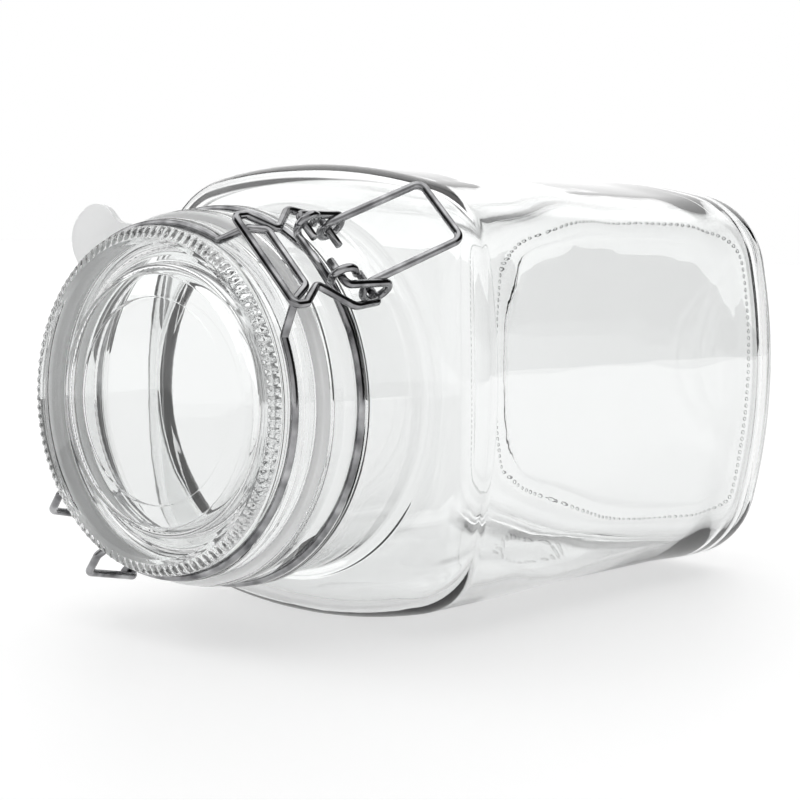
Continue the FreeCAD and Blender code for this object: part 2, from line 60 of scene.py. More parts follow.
# neck and finish
FINISH_RADIUS = 51.0         # outside of the ring under the seal
LIP_WIDTH = 7.0
LIP_ROUND = 0.9
MOUTH_DEPTH = 11.0           # height of the narrow mouth
MOUTH_SLOPE = 2.6            # half the height of the slope from the mouth to the bore
MOUTH_ROUND = 2.5
NECK_IN = 0.2                # the neck is this much slimmer than the finish
NECK_WALL = 4.2
NECK_BLEND = 2.6
NECK_HEIGHT = 22.65          # shoulder to the transfer bead
BEAD_PROUD = 1.4             # transfer bead under the neck wire
BEAD_SLOPE = 1.0             # height of the slope under it
BEAD_HEIGHT = 3.2
BEAD_ROUND = 0.8
WIRE_RADIUS = 0.95
SEAT_GAP = 0.15              # wire to the glass it lies against
SEAT_RISE = 5.0              # start of the bead to the neck wire
SEAT_DEPTH = 0.9             # groove for the neck wire
SEAT_SLOPE = 0.4
SEAT_ROUND = 0.3
FINISH_HEIGHT = 10.5         # neck wire to the top of the mouth

# lid
SEAL_THICK = 3.0
SEAL_GAP = 0.03              # keeps the lid's skin clear of the seal
PLUG_PLAY = 1.0              # plug to the mouth
PLUG_TAPER = 1.3
PLUG_DEPTH = 5.5
PLUG_WALL = 5.5
SKIRT_INSET = 2.5            # the skirt is this much smaller than the finish
SKIRT_HEIGHT = 5.4
LID_HEIGHT = 12.9            # from the seal to the top of the rim
LID_WIRE_INSET = 4.0
LID_WIRE_RISE = 7.25         # seal to the wire in the lid's groove
RIM_INSET = 4.6
RIM_FLAT = 4.6
RIM_EDGE = 0.8               # the rim starts this far above the groove
RIM_BEVEL = 3.2              # width of the sloping outer part of the rim
DISH_SLOPE = 8.1             # width of the slope inside the rim
DISH_DEPTH = 1.9
STEP_WIDTH = 5.9
STEP_DEPTH = 0.4
LID_GLASS = 4.0              # thickness at the middle of the lid

# rim beads and base dots
RIM_COUNT = 112
RIM_LEAN = 28.0              # degrees; the beads lean outwards with the rim's bevel
RIM_BEAD_LENGTH = 4.0
RIM_BEAD_WIDTH = 2.3
STIPPLE_INSET = 0.4          # the dots sit this far inside the heel
STIPPLE_LEVEL = 0.28
STIPPLE_PITCH = 2.3
STIPPLE_SIZE = 0.75
STIPPLE_FLATNESS = 0.35      # their height over their width

# wires: each one's body, and the plating's thickness
WIRE_BODY = {"neck_wire": "jar", "lid_wire": "lid", "lever": "lever", "link": "link"}
WIRE_SKIN = 0.15

# unevenness of the inner walls
WALL_WAVES = ((0.16, 2, 0.7), (0.1, 5, 2.1))   # size, waves round the jar, start in radians
TWIST_SIZE = 0.12
TWIST_WAVES = 3              # round the jar
TWIST_RISE = 19.0            # height in which the twist turns by a radian
TWIST_TOP = 150.0
TWIST_FADE_HIGH = 30.0
TWIST_FADE_LOW = 15.0

# how closely the skins' points lie
JAR_COLUMNS = 256
BASE_STEPS = (0, 0.08, 0.2, 0.35, 0.5, 0.64, 0.76, 0.85, 0.91, 0.95, 0.975, 0.99)
FLOOR_STEPS = (0.97, 0.92, 0.85, 0.75, 0.62, 0.48, 0.34, 0.2, 0.08, 0)
HEEL_ROWS = 15
SHOULDER_ROWS = 34
INNER_SHOULDER_ROWS = 26
INNER_WALL_ROWS = 26
ROUND_STEP = 0.32            # radians between the points of a large round
BEVEL_ROWS = 12
BEAD_COLUMNS = 8             # for each bead of the rim
STIPPLE_POINTS = 720

# worked out
NECK_RADIUS = FINISH_RADIUS - NECK_IN
NECK_BORE = NECK_RADIUS - NECK_WALL
MOUTH_RADIUS = FINISH_RADIUS - LIP_WIDTH
BEAD_LOW = BODY_HEIGHT + NECK_HEIGHT
NECK_WIRE_HEIGHT = BEAD_LOW + SEAT_RISE
MOUTH_TOP = NECK_WIRE_HEIGHT + FINISH_HEIGHT
LID_SEAT = MOUTH_TOP + SEAL_THICK
LID_WIRE_HEIGHT = LID_SEAT + LID_WIRE_RISE
TOTAL_HEIGHT = LID_SEAT + LID_HEIGHT
PLUG_RADIUS = MOUTH_RADIUS - PLUG_PLAY
SKIRT_RADIUS = FINISH_RADIUS - SKIRT_INSET
WAIST_RADIUS = FINISH_RADIUS - LID_WIRE_INSET - WIRE_RADIUS - SEAT_GAP
RIM_RADIUS = FINISH_RADIUS - RIM_INSET
DISH_RADIUS = RIM_RADIUS - RIM_FLAT - DISH_SLOPE
STEP_RADIUS = DISH_RADIUS - STEP_WIDTH

# ---- view: from the lid's end and a little above, in metres ----
AZIMUTH = math.radians(39.145)
ELEVATION = math.radians(5.188)
ROLL = math.radians(1.556)
EYE = (0.371305, -0.4643, 0.113174)
FOCAL_LENGTH = 86.97         # mm, on a sensor this wide
SENSOR_WIDTH = 36

# ---- finishes ----
WHITE = (1, 1, 1, 1)
CLEAR_GLASS = (0.918, 0.925, 0.923, 1)
# painted shade: near-black glass colour for the heel's edges, where the surface turns edge-on to the
# view
HEEL_PAINTED_SHADE = (0.04, 0.043, 0.043, 1)
HEEL_SHADE_HEIGHT = 10.2          # mm over the base, where the painted shade on the heel's edges starts
HEEL_SHADE_FADE = 4.0             # mm
STEEL_DARK = (0.12, 0.12, 0.125, 1)
STEEL_BRIGHT = (0.5, 0.5, 0.51, 1)
SCRATCH_SHIFT = 1.7          # gives each wire its own scratches
RUBBER_GREY = (0.8, 0.81, 0.81, 1)
RUBBER_PALE = (0.9, 0.9, 0.9, 1)

# ---- studio ----
STAGE_TONE = (0.52, 0.52, 0.52, 1)
STAGE_GLOW = 0.53            # keeps shadows soft
STAGE_REACH = 6.0            # metres from the middle to each edge
STAGE_LEVEL = -0.00006       # metres: a hair under the jar, so that no two faces coincide
BACKDROP_LIGHT = 1.33
FRONT_LIGHT = 0.6
TOP_LIGHT = 1.5
LEFT_LIGHT = 1.3
DARK_LIGHT = 0.01
LIGHT_BOUNCES = 20

MM = 0.001


def lay_down(points):
    """Upright millimetres to the jar's place in the scene, lying on its side."""
    x, y, h = np.asarray(points, dtype=float).T
    return np.stack([x, TOTAL_HEIGHT / 2 - h, y + JAR_WIDTH / 2 - REST_CUT], axis=1) * MM


# ---- helpers for objects and node trees ----
def add_object(name, data):
    """A new object at the origin."""
    made = bpy.data.objects.new(name, data)
    bpy.context.collection.objects.link(made)
    return made


def new_mesh(name, points, edges, faces):
    """A mesh from its points, and the points' numbers in each edge and face."""
    mesh = bpy.data.meshes.new(name)
    mesh.from_pydata([tuple(p) for p in points], edges, faces)
    return mesh


def set_inputs(node, **inputs):
    """Sets a node's inputs by name, to numbers or from sockets."""
    for key, value in inputs.items():
        socket = node.inputs[key.replace("_", " ")]
        if isinstance(value, bpy.types.NodeSocket):
            node.id_data.links.new(value, socket)
        else:
            socket.default_value = value


def add_node(tree, kind, settings=None, **inputs):
    """A node with its settings and its inputs."""
    node = tree.nodes.new(kind)
    for key, value in (settings or {}).items():
        setattr(node, key, value)
    set_inputs(node, **inputs)
    return node


def calc(tree, operation, *values):
    """One Math node; each value is a number or a socket."""
    node = tree.nodes.new("ShaderNodeMath")
    node.operation = operation
    for socket, value in zip(node.inputs, values):
        if isinstance(value, (int, float)):
            socket.default_value = value
        else:
            tree.links.new(value, socket)
    return node.outputs[0]


def ease(tree, value, low, high):
    """0 to 1, eased at both ends, as a value goes from low to high."""
    span = add_node(tree, "ShaderNodeMapRange", {"interpolation_type": "SMOOTHSTEP"}, Value=value)
    set_inputs(span, From_Min=low, From_Max=high)
    return span.outputs[0]


def ramp(tree, value, first, last):
    """A colour between two, each given as (position, colour)."""
    node = add_node(tree, "ShaderNodeValToRGB", Fac=value)
    for element, (position, colour) in zip(node.color_ramp.elements, (first, last)):
        element.position = position
        element.color = colour
    return node.outputs[0]


# ---- outlines and profiles ----
def outline(angles, inset):
    """Distance from the axis to the jar's rounded square, drawn inset from its widest size."""
    side = SIDE_RADIUS - inset
    corner = CORNER_RADIUS - inset
    side_centre = JAR_WIDTH / 2 - SIDE_RADIUS
    reach = SIDE_RADIUS - CORNER_RADIUS
    corner_centre = (side_centre + math.sqrt(2 * reach ** 2 - side_centre ** 2)) / 2
    turn = math.atan2(corner_centre, corner_centre - side_centre)
    phi = (angles + math.pi / 4) % (math.pi / 2) - math.pi / 4
    meet = np.arctan2(side * math.sin(turn), side_centre + side * math.cos(turn))
    flat = side_centre * np.cos(phi) + np.sqrt(side ** 2 - (side_centre * np.sin(phi)) ** 2)
    off = math.pi / 4 - np.abs(phi)
    bent = math.sqrt(2) * corner_centre * np.cos(off)
    bent += np.sqrt(np.maximum(corner ** 2 - 2 * (corner_centre * np.sin(off)) ** 2, 0))
    return np.where(np.abs(phi) < meet, flat, bent)


def smooth(t):
    """0 to 1, eased at both ends."""
    t = np.clip(t, 0, 1)
    return t * t * (3 - 2 * t)


def spaced(points, count):
    """A polyline's points set evenly along it, count of them."""
    points = np.asarray(points)
    run = np.concatenate([[0], np.cumsum(np.hypot(*np.diff(points, axis=0).T))])
    want = np.linspace(0, run[-1], count)
    return np.stack([np.interp(want, run, points[:, i]) for i in range(2)], axis=1)


def rounded(corners, support=0.25):
    """Points along a profile of (r, h, round) corners, with a point close to each round's ends."""
    out = []
    for i, (r, h, radius) in enumerate(corners):
        here = np.array([r, h])
        if radius == 0 or i in (0, len(corners) - 1):
            out.append(here)
            continue
        before = np.array(corners[i - 1][:2]) - here
        after = np.array(corners[i + 1][:2]) - here
        room = np.linalg.norm(before), np.linalg.norm(after)
        before, after = before / room[0], after / room[1]
        half = math.acos(np.clip(before @ after, -1, 1)) / 2
        cut = radius / math.tan(half)
        middle = here + (before + after) / np.linalg.norm(before + after) * radius / math.sin(half)
        start, end = here + before * cut - middle, here + after * cut - middle
        bend = math.pi - 2 * half
        steps = max(2, math.ceil(bend / ROUND_STEP * min(1, 0.5 + radius / 4)))
        if room[0] - cut > 4 * support:
            out.append(here + before * (cut + support))
        for s in range(steps + 1):
            t = s / steps
            arc = (math.sin((1 - t) * bend) * start + math.sin(t * bend) * end) / math.sin(bend)
            out.append(middle + arc)
        if room[1] - cut > 4 * support:
            out.append(here + after * (cut + support))
    return np.array(out)


def neck_profile():
    """Neck, bead, wire groove, lip, narrow mouth and bore.

    The first and last corners lie on the two shoulders, which have rows of their own.
    """
    bead = FINISH_RADIUS + BEAD_PROUD
    bead_top = BEAD_LOW + BEAD_HEIGHT
    seat = FINISH_RADIUS - SEAT_DEPTH
    seat_top = NECK_WIRE_HEIGHT + WIRE_RADIUS
    mouth_low = MOUTH_TOP - MOUTH_DEPTH
    under_shoulder = BODY_HEIGHT - WALL
    profile = rounded([
        (NECK_RADIUS + NECK_BLEND + 2, BODY_HEIGHT, 0),
        (NECK_RADIUS, BODY_HEIGHT, NECK_BLEND),
        (NECK_RADIUS, BEAD_LOW - BEAD_SLOPE, 0.6),
        (bead, BEAD_LOW, BEAD_ROUND),
        (bead, bead_top, BEAD_ROUND),
        (seat, bead_top + SEAT_SLOPE, SEAT_ROUND),
        (seat, seat_top, SEAT_ROUND),
        (FINISH_RADIUS, seat_top + 1, SEAT_ROUND),
        (FINISH_RADIUS, MOUTH_TOP, LIP_ROUND),
        (MOUTH_RADIUS, MOUTH_TOP, LIP_ROUND),
        (MOUTH_RADIUS, mouth_low + MOUTH_SLOPE, MOUTH_ROUND),
        (NECK_BORE, mouth_low - MOUTH_SLOPE, MOUTH_ROUND),
        (NECK_BORE, under_shoulder, NECK_WALL),
        (NECK_RADIUS + 0.5, under_shoulder, 0),
    ])
    return profile[2:-1]


def lid_profile():
    """Plug, skirt, wire groove, rim and dish, with extra rows on the bevel for its beads."""
    under = TOTAL_HEIGHT - DISH_DEPTH - STEP_DEPTH - LID_GLASS
    seat = LID_SEAT + SEAL_GAP
    groove_low = LID_WIRE_HEIGHT - WIRE_RADIUS
    groove_high = LID_WIRE_HEIGHT + WIRE_RADIUS
    rim_low = groove_high + RIM_EDGE
    dish = TOTAL_HEIGHT - DISH_DEPTH
    profile = rounded([
        (0, under, 0),
        (PLUG_RADIUS - PLUG_WALL, under, 3),
        (PLUG_RADIUS - PLUG_WALL, LID_SEAT - PLUG_DEPTH, 1.5),
        (PLUG_RADIUS - PLUG_TAPER, LID_SEAT - PLUG_DEPTH, 1.5),
        (PLUG_RADIUS, seat, 0),
        (SKIRT_RADIUS, seat, 0.9),
        (SKIRT_RADIUS, LID_SEAT + SKIRT_HEIGHT, 1.1),
        (WAIST_RADIUS, groove_low, 0.5),
        (WAIST_RADIUS, groove_high, 0.2),
        (RIM_RADIUS, rim_low, 0.3),
        (RIM_RADIUS, TOTAL_HEIGHT - RIM_BEVEL * math.tan(math.radians(RIM_LEAN)), 0.5),
        (RIM_RADIUS - RIM_BEVEL, TOTAL_HEIGHT, 0.8),
        (RIM_RADIUS - RIM_FLAT, TOTAL_HEIGHT, 1.2),
        (DISH_RADIUS + 0.4, dish + 0.5, 0.15),
        (DISH_RADIUS, dish - 0.05, 0.15),
        (STEP_RADIUS, dish - 0.1, 0.1),
        (STEP_RADIUS - 0.2, dish - STEP_DEPTH, 0.1),
        (0, dish - STEP_DEPTH, 0),
    ])
    start, end = profile[:-1], profile[1:]
    on_bevel = (start[:, 0] > RIM_RADIUS - 1) & (end[:, 0] < RIM_RADIUS - 0.5)
    first = int(np.nonzero(on_bevel & (start[:, 1] > rim_low + 0.5))[0][0])
    extra = np.linspace(start[first], end[first], BEVEL_ROWS)[1:-1]
    return np.vstack([profile[:first + 1], extra, profile[first + 1:]])


# ---- rows of the jar's skin, each a radius and a height ----
def base_rows(angles):
    """Hollow base, the ring it stands on and the heel."""
    foot = outline(angles, HEEL_RADIUS + BASE_RING)
    wide = JAR_WIDTH / 2 - HEEL_RADIUS - BASE_RING + CORNER_RADIUS / 2
    for step in BASE_STEPS:
        r = step * foot
        dome = PUSH_UP * (1 - (r / wide) ** 2)
        yield r, np.maximum(0, np.minimum(dome, (foot - r) * FOOT_SLOPE))
    for inset in (BASE_RING, BASE_RING / 2, 0.6):
        yield outline(angles, HEEL_RADIUS + inset), 0
    for a in np.linspace(0, math.pi / 2, HEEL_ROWS):
        yield outline(angles, HEEL_RADIUS * (1 - math.sin(a))), HEEL_RADIUS * (1 - math.cos(a))


def side_rows(angles):
    """The outside of the sides, which sink a little between the two bands."""
    band_low, panel_low, panel_high, band_high = BANDS
    # rows lie closer where the sides change, and stop where the shoulder's edge takes over
    levels = [HEEL_RADIUS + 2.5]
    levels += [*np.linspace(band_low, panel_low, 11)]
    levels += [*np.linspace(panel_low + 6, panel_high - 6, 7)]
    levels += [*np.linspace(panel_high, band_high, 15)]
    levels += [band_high + 5, band_high + 10, band_high + 14]
    for h in levels:
        sunk = smooth((h - band_low) / (panel_low - band_low))
        sunk *= smooth((band_high - h) / (band_high - panel_high))
        yield outline(angles, PANEL_SINK * sunk), h


def shoulder_rows(reach, edge, inset, stop, count):
    """Wall's top, shoulder edge and shoulder, up to the radius where the neck begins.

    The wall is reach from the axis, the edge's blend has radius edge, and inset is the glass's
    thickness over these rows.
    """
    base = BODY_HEIGHT - SHOULDER_RADIUS
    drop = SHOULDER_RADIUS - SHOULDER_EDGE
    size = SHOULDER_RADIUS - inset
    columns = []
    for r in reach:
        centre = r - edge
        level = base + math.sqrt(drop ** 2 - (centre - NECK_RADIUS) ** 2)
        lean = math.atan2(level - base, centre - NECK_RADIUS)
        a = np.linspace(0, lean, 60)
        blend = np.stack([centre + edge * np.cos(a), level + edge * np.sin(a)], axis=1)
        a = np.linspace(lean, math.pi / 2, 40)[1:]
        crown = np.stack([NECK_RADIUS + size * np.cos(a), base + size * np.sin(a)], axis=1)
        path = np.vstack([blend, crown])
        tip = np.array([[stop, np.interp(stop, path[::-1, 0], path[::-1, 1])]])
        columns.append(spaced(np.vstack([path[path[:, 0] > stop], tip]), count))
    for row in np.array(columns).transpose(1, 2, 0):
        yield row


def inside_rows(angles):
    """Inside of the shoulder, the uneven walls, the floor's corner and the floor."""
    inner = outline(angles, WALL)
    inner += sum(size * np.sin(count * angles + start) for size, count, start in WALL_WAVES)
    edge = SHOULDER_EDGE - WALL
    yield from reversed([*shoulder_rows(inner, edge, WALL, NECK_RADIUS + 1, INNER_SHOULDER_ROWS)])
    wall_low = FLOOR + FLOOR_CORNER
    for h in np.linspace(TWIST_TOP + 2, wall_low, INNER_WALL_ROWS):
        twist = TWIST_SIZE * np.sin(TWIST_WAVES * angles + h / TWIST_RISE)
        twist *= smooth((TWIST_TOP - h) / TWIST_FADE_HIGH)
        yield inner + twist * smooth((h - wall_low) / TWIST_FADE_LOW), h
    centre = inner - FLOOR_CORNER
    for a in np.linspace(0, math.pi / 2, 12)[1:]:
        yield centre + FLOOR_CORNER * math.cos(a), FLOOR + FLOOR_CORNER * (1 - math.sin(a))
    wide = JAR_WIDTH / 2 - WALL - FLOOR_CORNER
    for step in FLOOR_STEPS:
        r = step * centre
        yield r, FLOOR + FLOOR_RISE * np.maximum(0, 1 - (r / wide) ** 2)


# ---- meshes ----
def turned_grid(rows, angles):
    """Closed skin through rows of radii and heights; the first and last rows are on the axis."""
    count = len(angles)
    radius = np.array([np.broadcast_to(r, count) for r, h in rows], dtype=float)
    height = np.array([np.broadcast_to(h, count) for r, h in rows], dtype=float)
    ring = np.stack([radius * np.cos(angles), radius * np.sin(angles), height], axis=2)
    ring = ring[1:-1].reshape(-1, 3)
    points = np.vstack([ring, [0, 0, height[0, 0]], [0, 0, height[-1, 0]]])
    low, high = len(ring), len(ring) + 1
    top = len(ring) - count
    faces = []
    for j in range(count):
        k = (j + 1) % count
        faces.append((low, k, j))
        faces.append((top + j, top + k, high))
    for a in range(0, top, count):
        b = a + count
        for j in range(count):
            k = (j + 1) % count
            faces.append((a + j, a + k, b + k, b + j))
    return points, faces


def jar_shell(material):
    """The jar's glass: one closed skin, up the outside and down the inside."""
    angles = np.arange(JAR_COLUMNS) * math.tau / JAR_COLUMNS
    rows = [*base_rows(angles), *side_rows(angles)]
    neck_start = NECK_RADIUS + NECK_BLEND
    rows += shoulder_rows(outline(angles, 0), SHOULDER_EDGE, 0, neck_start, SHOULDER_ROWS)
    rows += [*neck_profile(), *inside_rows(angles)]
    points, faces = turned_grid(rows, angles)
    points = lay_down(points)
    points[:, 2] = np.maximum(points[:, 2], 0)   # the flat spot it lies on
    mesh = new_mesh("jar_glass_shell", points, [], faces)
    mesh.shade_smooth()
    mesh.materials.append(material)
    return add_object(mesh.name, mesh)


def drawn_wire(name, material):
    """A smooth copy of a wire's built form, with the plating's thickness over it."""
    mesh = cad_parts[name].data.copy()
    mesh.name = name + "_plated"
    form = bmesh.new()
    form.from_mesh(mesh)
    bmesh.ops.remove_doubles(form, verts=form.verts, dist=1e-6)
    form.normal_update()
    for vert in form.verts:
        vert.co += vert.normal * (WIRE_SKIN * MM)
    form.to_mesh(mesh)
    form.free()
    mesh.shade_smooth()
    mesh.materials.clear()
    mesh.materials.append(material)
    return add_object(mesh.name, mesh)


# ---- geometry node trees ----
def new_tree(name, inputs):
    """A tree with a geometry input and output, named number inputs and a finish."""
    tree = bpy.data.node_groups.new(name, "GeometryNodeTree")
    tree.interface.new_socket("Geometry", in_out="INPUT", socket_type="NodeSocketGeometry")
    for label, value in inputs.items():
        socket = tree.interface.new_socket(label, in_out="INPUT", socket_type="NodeSocketFloat")
        socket.default_value = value
    tree.interface.new_socket("Finish", in_out="INPUT", socket_type="NodeSocketMaterial")
    tree.interface.new_socket("Geometry", in_out="OUTPUT", socket_type="NodeSocketGeometry")
    return tree, tree.nodes.new("NodeGroupInput").outputs


def close_tree(tree, shape, finish):
    """Realizes, finishes and outputs a tree's geometry."""
    real = add_node(tree, "GeometryNodeRealizeInstances", Geometry=shape)
    done = add_node(tree, "GeometryNodeSetMaterial", Geometry=real.outputs[0], Material=finish)
    add_node(tree, "NodeGroupOutput", Geometry=done.outputs[0])


def rim_bead_tree():
    """Raises a ring of long beads, each half an ellipsoid, on the lid's bevel."""
    tree, given = new_tree("Beaded rim", {
        "Count": 100.0, "Radius": 45.0, "Top": 226.0, "Lean": 0.5, "Length": 4.0, "Width": 2.0,
    })

    def times(a, b):
        return calc(tree, "MULTIPLY", a, b)

    def less(a, b):
        return calc(tree, "SUBTRACT", a, b)

    def over(a, b):
        return calc(tree, "DIVIDE", a, b)

    def spread(a, b):
        return calc(tree, "SQRT", calc(tree, "MULTIPLY_ADD", b, b, times(a, a)))

    half_long = times(given["Length"], 0.5)
    half_wide = times(given["Width"], 0.5)
    cos, sin = calc(tree, "COSINE", given["Lean"]), calc(tree, "SINE", given["Lean"])
    out_by = spread(times(half_long, cos), times(half_wide, sin))
    down_by = spread(times(half_long, sin), times(half_wide, cos))
    # each point's place from the nearest bead's middle: across it, along it and above it
    where = add_node(tree, "GeometryNodeInputPosition")
    x, y, z = add_node(tree, "ShaderNodeSeparateXYZ", Vector=where.outputs[0]).outputs
    radius = spread(x, y)
    turns = over(times(calc(tree, "ARCTAN2", y, x), given["Count"]), math.tau)
    pitch = over(times(radius, math.tau), given["Count"])
    across = over(times(calc(tree, "WRAP", turns, 0.5, -0.5), pitch), half_wide)
    dr = less(radius, less(given["Radius"], out_by))
    dh = less(z, less(given["Top"], down_by))
    along = over(less(times(dr, cos), times(dh, sin)), half_long)
    level = calc(tree, "MULTIPLY_ADD", dr, sin, times(dh, cos))
    # lift each point from there to the bead's surface
    inside = less(less(1.0, times(along, along)), times(across, across))
    swell = times(calc(tree, "SQRT", calc(tree, "MAXIMUM", inside, 0.0)), half_wide)
    rise = calc(tree, "MAXIMUM", less(swell, level), 0.0)
    rise = times(rise, calc(tree, "GREATER_THAN", level, 0.0))
    rise = times(rise, calc(tree, "GREATER_THAN", inside, 0.0))
    outward = over(times(rise, sin), radius)
    offset = add_node(
        tree, "ShaderNodeCombineXYZ",
        X=times(outward, x), Y=times(outward, y), Z=times(rise, cos))
    moved = add_node(
        tree, "GeometryNodeSetPosition", Geometry=given["Geometry"], Offset=offset.outputs[0])
    close_tree(tree, moved.outputs[0], given["Finish"])
    return tree


def stipple_tree():
    """Sets small pressed dots along a line at an even pitch."""
    tree, given = new_tree("Stippled ring", {"Pitch": 2.0, "Size": 1.0, "Height": 0.5})
    curve = add_node(tree, "GeometryNodeMeshToCurve", Mesh=given["Geometry"])
    even = add_node(
        tree, "GeometryNodeResampleCurve", {"mode": "LENGTH"},
        Curve=curve.outputs[0], Length=given["Pitch"])
    dot = add_node(tree, "GeometryNodeMeshIcoSphere", Subdivisions=2, Radius=given["Size"])
    flat = add_node(tree, "ShaderNodeCombineXYZ", X=1.0, Y=1.0, Z=given["Height"])
    dots = add_node(
        tree, "GeometryNodeInstanceOnPoints",
        Points=even.outputs[0], Instance=dot.outputs[0], Scale=flat.outputs[0])
    close_tree(tree, dots.outputs[0], given["Finish"])
    return tree


def worked(name, source, tree, values):
    """A plain piece from a mesh run through a tree, laid down with the jar."""
    helper = add_object(name + "_work", source)
    change = helper.modifiers.new("Work", "NODES")
    change.node_group = tree
    for item in tree.interface.items_tree:
        if item.in_out == "INPUT" and item.name in values:
            change[item.identifier] = values[item.name]
    shown = helper.evaluated_get(bpy.context.evaluated_depsgraph_get())
    mesh = bpy.data.meshes.new_from_object(shown)
    bpy.data.objects.remove(helper)
    flat = np.empty(len(mesh.vertices) * 3)
    mesh.vertices.foreach_get("co", flat)
    mesh.vertices.foreach_set("co", lay_down(flat.reshape(-1, 3)).ravel())
    mesh.shade_smooth()
    mesh.update()
    return add_object(name, mesh)


def lid_pressing(material):
    """The lid's glass, turned and then beaded round its rim."""
    columns = RIM_COUNT * BEAD_COLUMNS
    points, faces = turned_grid(lid_profile(), np.arange(columns) * math.tau / columns)
    blank = new_mesh("lid_blank", points, [], faces)
    return worked("lid_glass_pressing", blank, rim_bead_tree(), {
        "Count": float(RIM_COUNT), "Radius": RIM_RADIUS, "Top": TOTAL_HEIGHT,
        "Lean": math.radians(RIM_LEAN), "Length": RIM_BEAD_LENGTH, "Width": RIM_BEAD_WIDTH,
        "Finish": material,
    })


def stippled_ring(material):
    """Pressed dots under the base, just inside the heel."""
    angles = np.arange(STIPPLE_POINTS) * math.tau / STIPPLE_POINTS
    r = outline(angles, HEEL_RADIUS + STIPPLE_INSET)
    level = np.full(STIPPLE_POINTS, STIPPLE_LEVEL)
    points = np.stack([r * np.cos(angles), r * np.sin(angles), level], axis=1)
    edges = [(i, (i + 1) % STIPPLE_POINTS) for i in range(STIPPLE_POINTS)]
    line = new_mesh("ring_line", points, edges, [])
    return worked("base_stipple", line, stipple_tree(), {
        "Pitch": STIPPLE_PITCH, "Size": STIPPLE_SIZE, "Height": STIPPLE_FLATNESS,
        "Finish": material,
    })


# ---- finishes ----
def blank_finish(name):
    """A new material, its tree and its Principled shader."""
    material = bpy.data.materials.new(name)
    material.use_nodes = True
    return material, material.node_tree, material.node_tree.nodes["Principled BSDF"]


def ripple_group():
    """Slow waves and fine grain of pressed glass, as one height."""
    tree = bpy.data.node_groups.new("Pressed glass waves", "ShaderNodeTree")
    for label, value in (("Wave scale", 20.0), ("Grain scale", 200.0), ("Grain", 0.1)):
        socket = tree.interface.new_socket(label, in_out="INPUT", socket_type="NodeSocketFloat")
        socket.default_value = value
    tree.interface.new_socket("Height", in_out="OUTPUT", socket_type="NodeSocketFloat")
    given = tree.nodes.new("NodeGroupInput").outputs
    place = add_node(tree, "ShaderNodeTexCoord").outputs["Object"]
    waves = add_node(tree, "ShaderNodeTexNoise", Vector=place, Detail=1.0, Scale=given["Wave scale"])
    grain = add_node(tree, "ShaderNodeTexNoise", Vector=place, Detail=2.0, Scale=given["Grain scale"])
    fine = calc(tree, "MULTIPLY", grain.outputs[0], given["Grain"])
    add_node(tree, "NodeGroupOutput", Height=calc(tree, "ADD", waves.outputs[0], fine))
    return tree


def glass_finish(name, ripples, wave_scale, grain_scale, grain, depth):
    """Clear pressed glass with the ripples of its mould."""
    material, tree, shader = blank_finish(name)
    set_inputs(shader, Base_Color=CLEAR_GLASS, Transmission_Weight=1.0, Roughness=0.0, IOR=1.51)
    group = add_node(
        tree, "ShaderNodeGroup", {"node_tree": ripples},
        Wave_scale=wave_scale, Grain_scale=grain_scale, Grain=grain)
    bump = add_node(tree, "ShaderNodeBump", Height=group.outputs[0], Strength=0.5, Distance=depth)
    set_inputs(shader, Normal=bump.outputs[0])
    return material


def paint_heel_edge_shade(material):
    """Paints shade into the glass's colour on its heel, darkest where the surface turns edge-on to
    the view.
    """
    tree = material.node_tree
    place = add_node(tree, "ShaderNodeTexCoord").outputs["Object"]
    along = add_node(tree, "ShaderNodeSeparateXYZ", Vector=place).outputs["Y"]
    start = TOTAL_HEIGHT / 2 - HEEL_SHADE_HEIGHT
    heel = ease(tree, along, start * MM, (start + HEEL_SHADE_FADE) * MM)
    # painted shade: Layer Weight darkens the heel's glass colour where its surface turns away from
    # the view
    edge = add_node(tree, "ShaderNodeLayerWeight", Blend=0.5).outputs["Facing"]
    painted_shade = calc(tree, "MULTIPLY", heel, ease(tree, edge, 0.32, 0.44))
    shaded_tint = ramp(tree, painted_shade, (0, CLEAR_GLASS), (1, HEEL_PAINTED_SHADE))
    set_inputs(tree.nodes["Principled BSDF"], Base_Color=shaded_tint)


def steel_finish(name, seed):
    """Bright drawn wire: fine scratches, a little uneven polish."""
    material, tree, shader = blank_finish(name)
    place = add_node(tree, "ShaderNodeTexCoord").outputs["Object"]
    turned = add_node(
        tree, "ShaderNodeMapping", Vector=place, Location=(seed, seed * 0.7, seed * 1.3),
        Rotation=(0.4, 0.2, math.radians(45))).outputs[0]
    scratches = add_node(tree, "ShaderNodeTexNoise", Vector=turned, Scale=1400.0, Detail=4.0)
    patches = add_node(tree, "ShaderNodeTexNoise", Vector=turned, Scale=160.0, Detail=3.0)
    tone = ramp(tree, patches.outputs[0], (0.3, STEEL_DARK), (0.7, STEEL_BRIGHT))
    rough = add_node(
        tree, "ShaderNodeMapRange", Value=scratches.outputs[0], To_Min=0.08, To_Max=0.18)
    bump = add_node(
        tree, "ShaderNodeBump", Height=scratches.outputs[0], Strength=0.12, Distance=0.00006)
    set_inputs(
        shader, Metallic=1.0, Base_Color=tone, Roughness=rough.outputs[0], Normal=bump.outputs[0])
    return material


